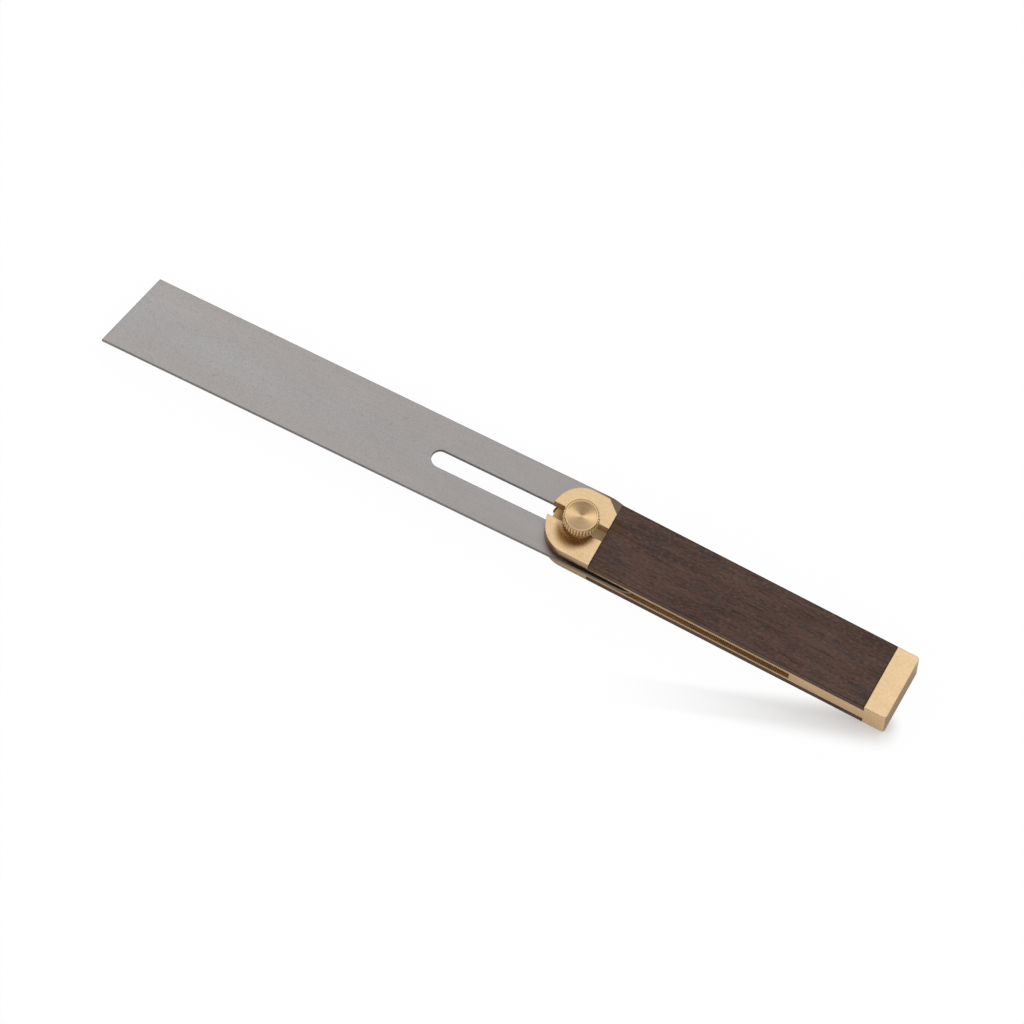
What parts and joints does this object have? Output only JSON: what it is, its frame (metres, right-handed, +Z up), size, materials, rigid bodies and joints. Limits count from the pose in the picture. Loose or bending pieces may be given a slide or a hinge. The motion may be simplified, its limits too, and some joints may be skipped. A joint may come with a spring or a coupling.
{
  "type": "sliding bevel",
  "caption": "Sliding bevel: slotted steel blade with a slanted tip, held between the ears of a brass and dark wood stock by a bolt with a knurled thumb nut.",
  "frame": {"origin": "centre of the stock's underside, on the lower wood scale", "axes": "+X along the stock from the pivot to the butt (the blade's tip points to -X), +Y to the far side, +Z up out of the face that carries the thumb nut"},
  "size_m": [0.2644, 0.0295, 0.0188],
  "materials": {
    "satin_brass": "satin, fine ground",
    "turned_brass": "turned and knurled",
    "dark_wood": "oiled, close straight grain",
    "ground_steel": "ground lengthwise"
  },
  "bodies": {
    "stock": {"brass_stock": "satin_brass", "top_scale": "dark_wood", "bottom_scale": "dark_wood"},
    "bolt": {"clamp_bolt": "satin_brass"},
    "pivot_washers": {"upper_washer": "turned_brass", "lower_washer": "turned_brass"},
    "blade": {"blade": "ground_steel"},
    "nut_washer": {"nut_washer": "turned_brass"},
    "thumb_nut": {"thumb_nut": "turned_brass"}
  },
  "joints": [
    {"name": "notch_slide", "type": "slide", "parent": "stock", "child": "bolt", "axis": [1, 0, 0], "range_m": [-0.008, 0]},
    {"name": "blade_swing", "type": "hinge", "parent": "bolt", "child": "pivot_washers", "pos_m": [-0.0497, 0, 0.0062], "axis": [0, 0, 1], "range_deg": [-161.5, 158.5]},
    {"name": "blade_slide", "type": "slide", "parent": "pivot_washers", "child": "blade", "axis": [0.9997, 0.0262, 0], "range_m": [-0.0025, 0.046]},
    {"name": "nut_turn", "type": "hinge", "parent": "bolt", "child": "nut_washer", "pos_m": [-0.0497, 0, 0.0138], "axis": [0, 0, 1], "range_deg": [0, 720]},
    {"name": "nut_lift", "type": "slide", "parent": "nut_washer", "child": "thumb_nut", "axis": [0, 0, 1], "range_m": [0, 0.0014]}
  ],
  "couplings": [
    {"joint": "nut_turn", "follows": "nut_lift", "rad_per_m": 8976}
  ]
}
